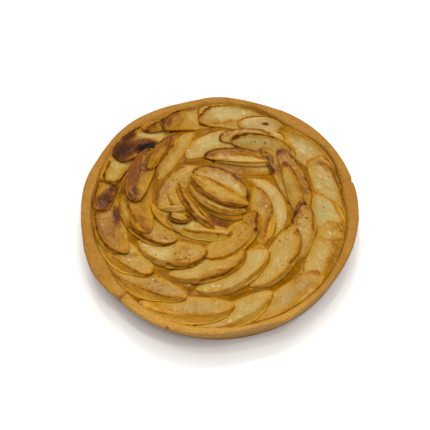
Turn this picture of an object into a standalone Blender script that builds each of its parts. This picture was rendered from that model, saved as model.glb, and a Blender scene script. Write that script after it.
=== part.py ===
"""An open apple tart: a shortcrust case, a level layer of jam, and fifty baked apple slices laid over one
another in three rings. Metres, Z up, origin at the middle of the base. Sizes below are in millimetres."""
import math

import bmesh
import bpy
import numpy as np
from mathutils import Vector

MM = 0.001

RIM_RADIUS = 120.0
RIM_INNER = 111.0
RIM_HEIGHT = 28.0
BASE_RADIUS = 115.6
BASE_THICKNESS = 4.0
WALL_LEAN = 0.10          # how far the inner wall leans out, per millimetre of height
JAM_LEVEL = 14.6
CLEARANCE = 0.3           # gap between neighbouring pieces
WALL_GAP = 0.6            # between the slices and the wall

# The hand-shaped rim: (angle in degrees, spread, change) for its outer edge, inner edge and height
OUTER_LUMPS = [
    (90, 6, 1.2), (70, 9, -1.5), (108, 7, -1.0), (134, 10, 1.3), (155, 7, -0.9), (168, 5, 0.6), (188, 8, -0.8),
    (214, 9, 3.0), (251, 18, 4.2), (284, 5, -0.6), (296, 5, 1.8), (320, 12, -0.6),
]
INNER_LUMPS = [
    (52, 9, -4.5), (27, 8, 1.6), (3, 7, -2.2), (138, 12, 2.0), (172, 7, -1.5), (211, 5, -1.2), (252, 18, 5.6),
    (292, 18, 4.2), (320, 12, 1.4), (86, 13, 1.6),
]
HEIGHT_LUMPS = [(40, 14, 0.4), (100, 9, -0.4), (135, 12, 0.5), (200, 14, -0.4), (262, 10, 0.3), (310, 12, -0.4)]
SEAM_ANGLE = 229.0        # the two ends of the pastry strip meet here
CRACK_ANGLE = 10.5

# The slices were set out from in front and above: their places hold at SIGHT_LEVEL, seen from the eye point,
# so a point that lies lower is further back along the same line of sight.
EYE = (0.0, -303.6, 486.6)
SIGHT_LEVEL = 26.0
MOST_DROP = 6.0

WEDGE = 0.24              # thickness gained per millimetre of width, from the core side to the skin side
CORE_THICKNESS = 2.6
INNER_SLIM = 0.72         # the slices in the middle are thinner
FLANK_BULGE = 1.3
STATIONS = 9

# One row a slice: name, head (x, y), tail (x, y), belly, core, blunt, flank
# The head is the end that lies on the slice before. The belly is the bow of the skin side, left of the line
# from head to tail, and core the bow of the other side. Blunt is the share of the width that the head keeps,
# and flank how far the peel slopes out below the top edge.
OUTER_RING = [
    ("outer_01", (-19, 91), (55, 90), 20.0, 6.0, 0.55, 0.0),
    ("outer_02", (18, 87), (80, 68), 14.0, 5.0, 0.2, 0.0),
    ("outer_03", (54, 77), (104, 25), 17.0, 6.0, 0.35, 0.0),
    ("outer_04", (84, 46), (104, -28), 13.0, 9.0, 0.5, 0.0),
    ("outer_05", (82, 10), (94, -50), 15.5, 6.0, 0.15, 1.5),
    ("outer_06", (95, -20), (68, -84), 15.0, 8.0, 0.3, 2.0),
    ("outer_07", (80, -67), (22, -106), 12.0, 6.0, 0.35, 3.0),
    ("outer_08", (42, -85), (-18, -112), 9.0, 6.0, 0.15, 5.0),
    ("outer_09", (12, -97), (-62, -91), 10.0, 6.0, 0.15, 6.0),
    ("outer_10", (-26, -90), (-92, -58), 8.0, 8.0, 0.15, 6.0),
    ("outer_11", (-54, -68), (-102, -26), 11.0, 9.0, 0.15, 4.0),
    ("outer_12", (-75, -50), (-97, 20), 18.0, 4.0, 0.1, 2.0),
    ("outer_13", (-99, -8), (-97, 46), 10.0, 8.0, 0.3, 0.0),
    ("outer_14", (-96, 20), (-76, 74), 12.0, 8.0, 0.6, 0.0),
    ("outer_15", (-90, 45), (-44, 86), 19.0, 7.0, 0.35, 0.0),
    ("outer_16", (-70, 78.5), (-38, 90), 6.0, 5.0, 0.3, 0.0),
    ("outer_17", (-53, 84), (8, 100), 16.5, 7.0, 0.45, 0.0),
]
MIDDLE_RING = [
    ("middle_01", (-30, 50), (25, 72), 17.5, 6.0, 0.15, 0.0),
    ("middle_02", (0, 70), (60, 66), 15.5, 5.0, 0.2, 0.0),
    ("middle_03", (11, 67), (69, 50), 18.0, 5.0, 0.2, 0.0),
    ("middle_04", (36, 58), (60, 2), 15.0, 1.0, 0.15, 0.0),
    ("middle_05", (54, 57), (74, -8), 14.0, 6.0, 0.15, 0.0),
    ("middle_06", (58, 44), (68, -14), 9.0, 5.0, 0.15, 0.0),
    ("middle_07", (72, 1), (56, -60), 13.0, 6.0, 0.15, 5.0),
    ("middle_08", (62, -23), (24, -79), 18.0, 5.0, 0.2, 2.0),
    ("middle_09", (36, -42), (-19, -82), 18.0, 4.0, 0.45, 3.0),
    ("middle_10", (22, -48), (-41, -68), 14.0, 5.0, 0.15, 3.0),
    ("middle_11", (-10, -48), (-68, -37), 17.0, 6.0, 0.15, 3.0),
    ("middle_12", (-35, -37), (-83, 10), 18.0, 4.0, 0.2, 4.0),
    ("middle_13", (-59, -30), (-68, 32), 15.0, 6.0, 0.15, 1.0),
    ("middle_14", (-73, 1), (-60, 60), 15.5, 8.0, 0.15, 0.0),
    ("middle_15", (-63, 36), (-38, 78), 9.5, 6.0, 0.2, 0.0),
    ("middle_16", (-54, 25), (-24, 79), 10.0, 5.0, 0.1, 0.0),
]
INNER_RING = [
    ("inner_01", (-5, 42), (48, 34), 9.5, 6.5, 0.15, 0.0),
    ("inner_02", (-4, 46), (46, 40), 7.0, 4.0, 0.15, 0.0),
    ("inner_03", (-14, 49), (44, 44), 13.5, 3.0, 0.15, 0.0),
    ("inner_04", (24, 26), (46, -32), 23.0, -8.0, 0.1, 0.0),
    ("inner_05", (30, 17), (34, -42), 15.0, 4.0, 0.15, 0.0),
    ("inner_06", (31, -8), (-15, -52), 18.0, 5.0, 0.15, 2.0),
    ("inner_07", (-36, -27), (-58, -2), 6.0, 8.0, 0.15, 0.0),
    ("inner_08", (-50, -8), (-20, 40), 16.0, 5.0, 0.15, 0.0),
    ("inner_09", (-28, -6), (-42, 16), 8.0, 5.0, 0.15, 0.0),
    ("inner_10", (-50, -7), (-28, -6), 3.0, 3.0, 0.3, 0.0),
    ("inner_11", (11, -31), (-44, -18), 7.0, 6.0, 0.15, 6.0),
    ("inner_12", (-24, -17), (-44, -14), 5.0, 6.0, 0.2, 1.0),
    ("inner_13", (-4, -25), (-36, 20), 8.7, 3.0, 0.1, 0.0),
    ("inner_14", (20, -15), (-26, 20), 11.0, 6.0, 0.1, 2.0),
    ("inner_15", (23, -8), (-25, 23), 13.0, 6.0, 0.1, 2.0),
    ("inner_16", (-24, 34), (25, 0), 18.5, 3.0, 0.1, 0.0),
    ("inner_17", (25, -2), (-25, 28), 11.5, 8.0, 0.1, 0.0),
]
# The order in which the middle and inner slices were laid, from the bottom up
LAID = (
    ["middle_01", "middle_02", "middle_03", "inner_01", "inner_02", "inner_03"]
    + ["middle_04", "middle_05", "middle_06", "inner_04", "middle_07", "middle_08", "inner_05"]
    + ["middle_09", "middle_10", "inner_06", "middle_11", "middle_12", "middle_13", "middle_14"]
    + ["middle_15", "middle_16", "inner_07", "inner_08", "inner_09", "inner_10", "inner_11"]
    + ["inner_12", "inner_13", "inner_14", "inner_15", "inner_16", "inner_17"]
)
HOVER = 0.4               # how readily a slice sinks into soft ones below it, instead of standing off them
CELL = 1.0                # side of a cell in the map of heights
MAP_HALF = 128

CRUST_COLOR = (0.50, 0.25, 0.05, 1)
JAM_COLOR = (0.33, 0.12, 0.006, 1)
APPLE_COLOR = (0.56, 0.38, 0.11, 1)


def lump(angle, centre, spread):
    """A smooth bump of height one around an angle, both in degrees."""
    apart = (angle - centre + 180.0) % 360.0 - 180.0
    return math.exp(-0.5 * (apart / spread) ** 2)


def rim_shape(angle):
    """Outer radius, inner radius and height of the rim at an angle in degrees."""
    outer, inner, height = (
        size + sum(change * lump(angle, centre, spread) for centre, spread, change in lumps)
        for size, lumps in ((RIM_RADIUS, OUTER_LUMPS), (RIM_INNER, INNER_LUMPS), (RIM_HEIGHT, HEIGHT_LUMPS))
    )
    seam = lump(angle, SEAM_ANGLE, 1.3)
    crack = lump(angle, CRACK_ANGLE, 0.9)
    return outer - 2.2 * seam - 1.0 * crack, inner - 0.8 * seam, height - 1.2 * seam - 0.6 * crack


def wall_radius(angle, height):
    """Radius of the inner wall at an angle and a height."""
    _, inner, top = rim_shape(angle)
    return inner - WALL_LEAN * (top - 1.8 - height)


def crust_profile(angle):
    """(radius, height) points of the case from the middle of the floor, over the rim, to the middle below."""
    outer, inner, top = rim_shape(angle)
    foot = wall_radius(angle, BASE_THICKNESS + 2.0)
    base = BASE_RADIUS + 0.12 * (outer - RIM_RADIUS)
    return [
        (foot - 20.0, BASE_THICKNESS), (foot - 2.0, BASE_THICKNESS), (foot, BASE_THICKNESS + 2.0),
        (inner, top - 1.8), (inner + 0.9, top - 0.4), (inner + 2.2, top), (outer - 1.7, top), (outer - 0.4, top - 0.6),
        (outer, top - 2.0), (0.52 * outer + 0.48 * base + 0.4, 13.5), (base + 0.5, 2.2), (base, 0.8),
        (base - 1.0, 0.0), (base - 24.0, 0.0),
    ]


def new_object(name, bm, collection, color):
    mesh = bpy.data.meshes.new(name)
    bm.to_mesh(mesh)
    bm.free()
    made = bpy.data.objects.new(name, mesh)
    collection.objects.link(made)
    material = bpy.data.materials.new(name)
    material.use_nodes = True
    shader = material.node_tree.nodes["Principled BSDF"]
    shader.inputs["Base Color"].default_value = color
    shader.inputs["Roughness"].default_value = 0.45
    mesh.materials.append(material)
    return made


def bridge(bm, rings):
    for first, second in zip(rings, rings[1:]):
        count = len(first)
        for i in range(count):
            j = (i + 1) % count
            bm.faces.new((first[i], first[j], second[j], second[i]))


def fan(bm, centre, ring):
    for i in range(len(ring)):
        bm.faces.new((centre, ring[i], ring[(i + 1) % len(ring)]))


def station_angles():
    """Even steps round the rim, with finer ones at the seam and the crack."""
    angles = [5.625 * i for i in range(64)]
    for centre, reach in ((SEAM_ANGLE, 3.0), (CRACK_ANGLE, 2.0)):
        angles = [a for a in angles if abs(a - centre) > reach + 0.8]
        angles += [centre + reach * step / 2.0 for step in (-2, -1, 0, 1, 2)]
    return sorted(angles)


def make_crust(collection):
    angles = station_angles()
    profiles = [crust_profile(angle) for angle in angles]
    bm = bmesh.new()
    rings = []
    for step in range(len(profiles[0])):
        ring = []
        for angle, profile in zip(angles, profiles):
            radius, height = profile[step]
            turn = math.radians(angle)
            ring.append(bm.verts.new(Vector((radius * math.cos(turn), radius * math.sin(turn), height)) * MM))
        rings.append(ring)
    bridge(bm, rings)
    fan(bm, bm.verts.new((0, 0, BASE_THICKNESS * MM)), rings[0])
    fan(bm, bm.verts.new((0, 0, 0)), rings[-1])
    bmesh.ops.recalc_face_normals(bm, faces=bm.faces)
    return new_object("crust", bm, collection, CRUST_COLOR)


def make_jam(collection):
    bm = bmesh.new()
    rings = []
    for height in (BASE_THICKNESS + CLEARANCE, BASE_THICKNESS + 2.4, JAM_LEVEL):
        ring = []
        for step in range(72):
            angle = 5.0 * step
            radius = wall_radius(angle, height) - WALL_GAP
            if height < BASE_THICKNESS + 1.0:
                radius -= 2.6
            turn = math.radians(angle)
            ring.append(bm.verts.new(Vector((radius * math.cos(turn), radius * math.sin(turn), height)) * MM))
        rings.append(ring)
    bridge(bm, rings)
    fan(bm, bm.verts.new((0, 0, (BASE_THICKNESS + CLEARANCE) * MM)), rings[0])
    fan(bm, bm.verts.new((0, 0, JAM_LEVEL * MM)), rings[-1])
    bmesh.ops.recalc_face_normals(bm, faces=bm.faces)
    return new_object("jam", bm, collection, JAM_COLOR)


class Slice:
    """One apple slice: a wedge that is bent along its length to lie on what is under it."""

    def __init__(self, name, head, tail, belly, core, blunt, flank):
        self.name = name
        self.head = np.array(head, float)
        self.along = np.array(tail, float) - self.head
        self.left = np.array((-self.along[1], self.along[0])) / np.hypot(*self.along)
        self.belly, self.core, self.blunt, self.flank = belly, core, blunt, flank
        self.width = belly + core
        self.slim = INNER_SLIM if name.startswith("inner") else 1.0
        self.bed = np.zeros(5)

    def outline(self, share):
        """Skin side and core side, left of the line, at shares 0 to 1 of the length."""
        arc = np.sqrt(np.clip(1.0 - (2.0 * share - 1.0) ** 2, 0.0, 1.0))
        full = np.where(share < 0.5, self.blunt + (1.0 - self.blunt) * arc, arc)
        full = np.maximum(full, 0.12)
        skin, inner = self.belly * full, -self.core * full
        thin = np.maximum(0.0, 3.0 - (skin - inner)) / 2.0
        return skin + thin, inner - thin

    def thickness(self, across):
        return self.slim * (CORE_THICKNESS + WEDGE * (across + max(self.core, -self.belly)))

    def under(self, share, across):
        """Height of the underside."""
        u = 2.0 * share - 1.0
        v = (across - 0.5 * (self.belly - self.core)) / (0.5 * self.width)
        terms = (np.ones_like(u), u, u * u - 0.33, v, u * v)
        return sum(factor * term for factor, term in zip(self.bed, terms))

    def place(self, share, across, height):
        """Plan position of a point of the top at its height, moved along the line of sight."""
        share, across, height = np.broadcast_arrays(share, across, height)
        flat = self.head + share[..., None] * self.along + across[..., None] * self.left
        drop = np.minimum(SIGHT_LEVEL - height, MOST_DROP) / (EYE[2] - SIGHT_LEVEL)
        return flat + drop[..., None] * (flat - np.array(EYE[:2]))

    def samples(self):
        share = np.linspace(0.0, 1.0, 70)[:, None] + np.zeros(36)
        skin, inner = self.outline(share)
        across = inner + (skin - inner) * np.linspace(0.0, 1.0, 36)[None, :]
        return share, across

    def settle(self, heights):
        """Lays the slice on the map of heights, bending it a little, and never below the jam."""
        share, across = self.samples()
        u = (2.0 * share - 1.0).ravel()
        v = ((across - 0.5 * (self.belly - self.core)) / (0.5 * self.width)).ravel()
        terms = np.stack([np.ones_like(u), u, u * u - 0.33, v, u * v], axis=1)
        stiffness = np.diag([0.0, 0.02, 0.12, 0.10, 0.35]) * len(u)
        for _ in range(4):
            top = self.under(share, across) + self.thickness(across)
            cells = to_cells(self.place(share, across, top))
            ground = heights[cells[..., 1], cells[..., 0]].ravel() + CLEARANCE
            weight = np.ones_like(ground)
            for _ in range(25):
                scaled = terms * weight[:, None]
                self.bed = np.linalg.solve(scaled.T @ terms + stiffness * weight.mean(), scaled.T @ ground)
                weight = np.where(terms @ self.bed < ground, 1.0, HOVER)

    def mark(self, heights):
        """Adds the slice's top to the map."""
        share, across = self.samples()
        top = self.under(share, across) + self.thickness(across)
        cells = to_cells(self.place(share, across, top))
        np.maximum.at(heights, (cells[..., 1], cells[..., 0]), top)

    def reach(self, spot, height, wanted):
        """How far the peel may stand out at a height before it touches the wall."""
        for part in (1.0, 0.8, 0.6, 0.4, 0.2):
            x, y = spot + part * wanted * self.left
            if math.hypot(x, y) < wall_radius(math.degrees(math.atan2(y, x)), height) - WALL_GAP:
                return part * wanted
        return 0.0

    def section(self, share):
        """The seven corners of the cross-section, as rows of x, y, z."""
        skin, inner = (float(side) for side in self.outline(np.array(share)))
        width = skin - inner
        floor = JAM_LEVEL + CLEARANCE
        shares = np.full(5, share)
        across = np.array([inner, inner + 0.36 * width, inner + 0.74 * width, skin - 0.05 * width, skin])
        bottom = self.under(shares, across)
        full = self.thickness(across)
        end = min(1.0, 0.72 + 2.4 * min(share, 1.0 - share))
        top = np.maximum(bottom, floor) * 0.5 + bottom * 0.5 + full * end
        top = np.maximum(top, np.maximum(bottom, floor) + 1.6) + np.array([-0.5, 0.1, 0.25, 0.0, -1.1])
        plan = self.place(shares, across, top)
        skin_low = max(float(bottom[4]), floor)
        core_low = max(float(bottom[0]), floor)
        middle = 0.45 * top[4] + 0.55 * skin_low
        spread = self.flank * math.sin(math.pi * share) ** 0.7
        bulge = self.reach(plan[4], middle, 0.75 * spread + min(FLANK_BULGE, 0.16 * full[4] + 0.2))
        foot = self.reach(plan[4], skin_low, 0.9 * spread) - 0.7
        corners = [
            (*plan[0], top[0]), (*plan[1], top[1]), (*plan[2], top[2]), (*plan[3], top[3]),
            (*(plan[4] + bulge * self.left), middle),
            (*(plan[4] + foot * self.left), skin_low),
            (*(plan[0] + 0.25 * self.left), core_low),
        ]
        return clear_of_wall(corners)

    def mesh(self):
        bm = bmesh.new()
        shares = [0.5 - 0.5 * math.cos(math.pi * (step + 0.30) / (STATIONS - 0.4)) for step in range(STATIONS)]
        rings = [[bm.verts.new(Vector(corner) * MM) for corner in self.section(share)] for share in shares]
        bridge(bm, rings)
        for ring, reach in ((rings[0], -0.9), (rings[-1], 0.9)):
            middle = sum((vert.co for vert in ring), Vector()) / len(ring)
            step = self.along / np.hypot(*self.along) * reach
            tip = (middle.x / MM + step[0], middle.y / MM + step[1], middle.z / MM)
            fan(bm, bm.verts.new(Vector(clear_of_wall([tip])[0]) * MM), ring)
        bmesh.ops.recalc_face_normals(bm, faces=bm.faces)
        bmesh.ops.triangulate(bm, faces=bm.faces)
        return bm


def clear_of_wall(corners):
    """Moves a cross-section in, as one, until all of it is clear of the inner wall of the case."""
    inward = np.zeros(2)
    for _ in range(3):
        for x, y, z in corners:
            spot = np.array((x, y)) + inward
            radius = math.hypot(*spot)
            over = radius - wall_radius(math.degrees(math.atan2(spot[1], spot[0])), z) + WALL_GAP
            if over > 0.0:
                inward = inward - spot / radius * over
    return [(x + inward[0], y + inward[1], z) for x, y, z in corners]


def to_cells(plan):
    return np.clip(np.round(plan / CELL).astype(int) + MAP_HALF, 0, 2 * MAP_HALF)


def lay_slices():
    """The slices from the bottom up, each settled on those below it. The outer ring closes on itself: its first
    slice is propped on the tail of its last one, which is then laid as if the first were not there."""
    rows = {row[0]: row for row in OUTER_RING + MIDDLE_RING + INNER_RING}
    first, last = OUTER_RING[0][0], OUTER_RING[-1][0]
    heights = np.full((2 * MAP_HALF + 1, 2 * MAP_HALF + 1), JAM_LEVEL)
    closing = Slice(*rows[last])
    closing.settle(heights)
    under_first = heights.copy()
    closing.mark(under_first)
    slices = [Slice(*rows[first])]
    slices[0].settle(under_first)
    over_first = heights.copy()
    slices[0].mark(over_first)
    for name in [row[0] for row in OUTER_RING[1:]] + LAID:
        piece = Slice(*rows[name])
        piece.settle(heights if name == last else np.maximum(heights, over_first))
        piece.mark(heights)
        slices.append(piece)
    return slices


def inflated(bm, amount):
    """Moves every face outward by about the same amount."""
    bm.normal_update()
    moves = [vert.normal * (amount * min(vert.calc_shell_factor(), 2.5)) for vert in bm.verts]
    for vert, move in zip(bm.verts, moves):
        vert.co += move
    return bm


def overlaps(first, second):
    """Whether the boxes of two meshes meet."""
    one = np.array([vert.co for vert in first.data.vertices])
    two = np.array([vert.co for vert in second.data.vertices])
    return bool((one.min(0) < two.max(0)).all() and (two.min(0) < one.max(0)).all())


def largest_body(bm):
    """Drops every loose scrap that a cut left."""
    seen, bodies = set(), []
    for start in bm.verts:
        if start in seen:
            continue
        body, queue = {start}, [start]
        while queue:
            for edge in queue.pop().link_edges:
                for vert in edge.verts:
                    if vert not in body:
                        body.add(vert)
                        queue.append(vert)
        seen |= body
        bodies.append(body)
    bodies.sort(key=lambda body: sum(face.calc_area() for face in {f for v in body for f in v.link_faces}))
    for body in bodies[:-1]:
        bmesh.ops.delete(bm, geom=list(body), context="VERTS")


def clear_below(objects, cutters, bin_collection):
    """Cuts from each slice the room of those laid over it, and keeps what is left in one piece."""
    count = len(objects)
    for low in range(count):
        above = list(range(low + 1, count))
        if low == len(OUTER_RING) - 1:
            above.append(0)
        if low == 0:
            above.remove(len(OUTER_RING) - 1)
        chosen = [cutters[high] for high in above if overlaps(objects[low], cutters[high])]
        if not chosen:
            continue
        for cutter in chosen:
            modifier = objects[low].modifiers.new("room", "BOOLEAN")
            modifier.operation = "DIFFERENCE"
            modifier.solver = "EXACT"
            modifier.object = cutter
    bpy.context.view_layer.update()
    graph = bpy.context.evaluated_depsgraph_get()
    for made in objects:
        if not made.modifiers:
            continue
        bm = bmesh.new()
        bm.from_object(made, graph)
        largest_body(bm)
        bmesh.ops.remove_doubles(bm, verts=bm.verts, dist=0.02 * MM)
        bmesh.ops.dissolve_limit(bm, angle_limit=math.radians(0.5), verts=bm.verts, edges=bm.edges)
        bmesh.ops.triangulate(bm, faces=bm.faces)
        fresh = bpy.data.meshes.new(made.name)
        bm.to_mesh(fresh)
        bm.free()
        fresh.materials.append(made.data.materials[0])
        made["fresh"] = fresh.name
    for made in objects:
        if made.modifiers:
            made.modifiers.clear()
            made.data = bpy.data.meshes[made["fresh"]]
            del made["fresh"]
    for cutter in list(bin_collection.objects):
        bpy.data.objects.remove(cutter)


def centre_on_origin(objects, crust):
    """Moves every piece sideways together, so that the middle of the case's box is over the origin."""
    spots = np.array([vert.co for vert in crust.data.vertices])
    middle = 0.5 * (spots.min(0) + spots.max(0))
    for made in objects:
        for vert in made.data.vertices:
            vert.co.x -= middle[0]
            vert.co.y -= middle[1]


def main():
    for old in list(bpy.data.objects):
        bpy.data.objects.remove(old)
    tart = bpy.data.collections.new("apple_tart")
    bin_collection = bpy.data.collections.new("cutters")
    bpy.context.scene.collection.children.link(tart)
    bpy.context.scene.collection.children.link(bin_collection)
    crust = make_crust(tart)
    jam = make_jam(tart)
    objects, cutters = [], []
    for piece in lay_slices():
        objects.append(new_object("slice_" + piece.name, piece.mesh(), tart, APPLE_COLOR))
        cutter = new_object("room_" + piece.name, inflated(piece.mesh(), CLEARANCE * MM), bin_collection, APPLE_COLOR)
        cutter.hide_render = True
        cutter.display_type = "WIRE"
        cutters.append(cutter)
    clear_below(objects, cutters, bin_collection)
    centre_on_origin([crust, jam] + objects, crust)


main()
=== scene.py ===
"""A baked apple tart, dressed over its solids: the slices get their soft skin, browning and glaze, the jam
its menisci, and the case its sandy crust. Metres, Z up. Sizes and tables are in millimetres."""
import math

import bmesh
import bpy
import numpy as np
from mathutils import Matrix, Vector, noise
from mathutils.bvhtree import BVHTree
from mathutils.kdtree import KDTree


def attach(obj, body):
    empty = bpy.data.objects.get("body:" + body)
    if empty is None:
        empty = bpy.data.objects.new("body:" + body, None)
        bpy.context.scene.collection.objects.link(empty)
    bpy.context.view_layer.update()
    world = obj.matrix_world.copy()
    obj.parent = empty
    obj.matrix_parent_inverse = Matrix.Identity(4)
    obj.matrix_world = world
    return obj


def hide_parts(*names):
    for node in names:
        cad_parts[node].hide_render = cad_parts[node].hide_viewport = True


MM = 0.001
# The tables were set out in a frame whose middle lies this far from the tart's own
OFFSET = np.array((-0.2, 0.8, 0.0))

# ---- pastry sizes
RIM_RADIUS = 120.0
RIM_INNER = 111.0
RIM_HEIGHT = 28.0
BASE_RADIUS = 115.6
BASE_THICKNESS = 4.0
# The inner wall leans by this share of its height and starts this far below the top of the rim
WALL_LEAN = 0.10
WALL_DROP = 1.8
# Lumps of the rim: angle of the middle, spread in degrees, change of the size
OUTER_LUMPS = [
    (90, 6, 1.2), (70, 9, -1.5), (108, 7, -1.0), (134, 10, 1.3), (155, 7, -0.9), (168, 5, 0.6), (188, 8, -0.8),
    (214, 9, 3.0), (251, 18, 4.2), (284, 5, -0.6), (296, 5, 1.8), (320, 12, -0.6),
]
INNER_LUMPS = [
    (52, 9, -4.5), (27, 8, 1.6), (3, 7, -2.2), (138, 12, 2.0), (172, 7, -1.5), (211, 5, -1.2), (252, 18, 5.6),
    (292, 18, 4.2), (320, 12, 1.4), (86, 13, 1.6),
]
HEIGHT_LUMPS = [
    (40, 14, 0.4), (100, 9, -0.4), (135, 12, 0.5), (200, 14, -0.4), (262, 10, 0.3), (310, 12, -0.4),
]
SEAM_ANGLE = 229.0
CRACK_ANGLE = 10.5

# ---- camera
# How far it is from the middle of the rim, how steeply it looks down there, and the tilt and turn of its aim
CAMERA_AWAY = 550.0
CAMERA_ANGLE = math.radians(56.5)
CAMERA_TILT = math.radians(-1.299)
CAMERA_TURN = math.radians(0.375)
# Its focal length, in widths of the picture
FOCAL_SHARE = 636.3 / 430.0
EYE = OFFSET + (0.0, -CAMERA_AWAY * math.cos(CAMERA_ANGLE), RIM_HEIGHT + CAMERA_AWAY * math.sin(CAMERA_ANGLE))
# The level plane on which the places of the tables were set out, as the camera sees them there
SIGHT_LEVEL = 26.0

# ---- apple slices
# name: head, tail, toast of the face, browning of the peel's edge, gloss, freckles
SLICES = {
    "outer_01": ((-19, 91), (55, 90), 0.00, 0.30, 1.0, 0.2),
    "outer_02": ((18, 87), (80, 68), 0.00, 0.20, 0.6, 0.2),
    "outer_03": ((54, 77), (104, 25), 0.18, 0.25, 0.3, 0.2),
    "outer_04": ((84, 46), (104, -28), 0.16, 0.35, 0.4, 0.2),
    "outer_05": ((82, 10), (94, -50), 0.04, 0.25, 0.3, 0.2),
    "outer_06": ((95, -20), (68, -84), 0.20, 0.25, 0.2, 0.2),
    "outer_07": ((80, -67), (22, -106), 0.29, 0.20, 0.3, 0.2),
    "outer_08": ((42, -85), (-18, -112), 0.14, 0.25, 0.6, 0.4),
    "outer_09": ((12, -97), (-62, -91), 0.30, 0.25, 0.6, 0.5),
    "outer_10": ((-26, -90), (-92, -58), 0.34, 0.30, 0.6, 0.6),
    "outer_11": ((-54, -68), (-102, -26), 0.29, 0.30, 0.6, 0.2),
    "outer_12": ((-75, -50), (-97, 20), 0.58, 0.45, 0.5, 0.6),
    "outer_13": ((-99, -8), (-97, 46), 0.33, 0.60, 0.5, 0.2),
    "outer_14": ((-96, 20), (-76, 74), 0.18, 0.45, 0.4, 0.4),
    "outer_15": ((-90, 45), (-44, 86), 0.28, 0.60, 0.4, 0.2),
    "outer_16": ((-70, 78.5), (-38, 90), 0.72, 0.45, 0.3, 0.2),
    "outer_17": ((-53, 84), (8, 100), 0.43, 0.45, 0.5, 0.2),
    "middle_01": ((-30, 50), (25, 72), 0.04, 0.20, 1.0, 0.2),
    "middle_02": ((0, 70), (60, 66), 0.00, 0.40, 0.6, 0.2),
    "middle_03": ((11, 67), (69, 50), 0.05, 0.40, 0.5, 0.7),
    "middle_04": ((36, 58), (60, 2), 0.39, 0.30, 0.3, 0.2),
    "middle_05": ((54, 57), (74, -8), 0.47, 0.45, 0.4, 0.6),
    "middle_06": ((58, 44), (68, -14), 0.24, 0.45, 0.3, 0.2),
    "middle_07": ((72, 1), (56, -60), 0.24, 0.35, 0.4, 0.9),
    "middle_08": ((62, -23), (24, -79), 0.20, 0.20, 0.7, 0.6),
    "middle_09": ((36, -42), (-19, -82), 0.12, 0.20, 1.0, 0.2),
    "middle_10": ((22, -48), (-41, -68), 0.20, 0.30, 0.6, 0.2),
    "middle_11": ((-10, -48), (-68, -37), 0.16, 0.25, 0.6, 1.0),
    "middle_12": ((-35, -37), (-83, 10), 0.39, 0.40, 0.7, 0.6),
    "middle_13": ((-59, -30), (-68, 32), 0.48, 0.40, 0.5, 0.2),
    "middle_14": ((-73, 1), (-60, 60), 0.73, 0.60, 0.5, 0.5),
    "middle_15": ((-63, 36), (-38, 78), 0.60, 0.50, 0.4, 0.2),
    "middle_16": ((-54, 25), (-24, 79), 0.19, 0.35, 0.3, 0.2),
    # inner_01's high toast is painted shade: it darkens the slice to the shade that lies over its visible part
    "inner_01": ((-5, 42), (48, 34), 0.61, 0.20, 0.4, 0.2),
    "inner_02": ((-4, 46), (46, 40), 0.00, 0.40, 0.5, 0.2),
    "inner_03": ((-14, 49), (44, 44), 0.54, 0.50, 0.6, 0.7),
    "inner_04": ((24, 26), (46, -32), 0.02, 0.20, 0.6, 0.2),
    "inner_05": ((30, 17), (34, -42), 0.38, 0.40, 0.4, 0.6),
    "inner_06": ((31, -8), (-15, -52), 0.36, 0.30, 0.5, 0.8),
    "inner_07": ((-36, -27), (-58, -2), 0.41, 0.20, 0.5, 0.2),
    "inner_08": ((-50, -8), (-20, 40), 0.34, 0.40, 0.4, 0.8),
    "inner_09": ((-28, -6), (-42, 16), 0.36, 0.20, 0.3, 0.2),
    "inner_10": ((-50, -7), (-28, -6), 0.00, 0.20, 0.5, 0.2),
    "inner_11": ((11, -31), (-44, -18), 0.00, 0.40, 0.5, 0.2),
    "inner_12": ((-24, -17), (-44, -14), 0.06, 0.60, 0.5, 0.2),
    "inner_13": ((-4, -25), (-36, 20), 0.18, 0.50, 0.5, 0.2),
    "inner_14": ((20, -15), (-26, 20), 0.67, 0.40, 0.6, 0.2),
    "inner_15": ((23, -8), (-25, 23), 0.00, 0.25, 0.4, 0.2),
    "inner_16": ((-24, 34), (25, 0), 0.10, 0.50, 0.7, 0.9),
    "inner_17": ((25, -2), (-25, 28), 0.29, 0.50, 0.4, 0.7),
}
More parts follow.
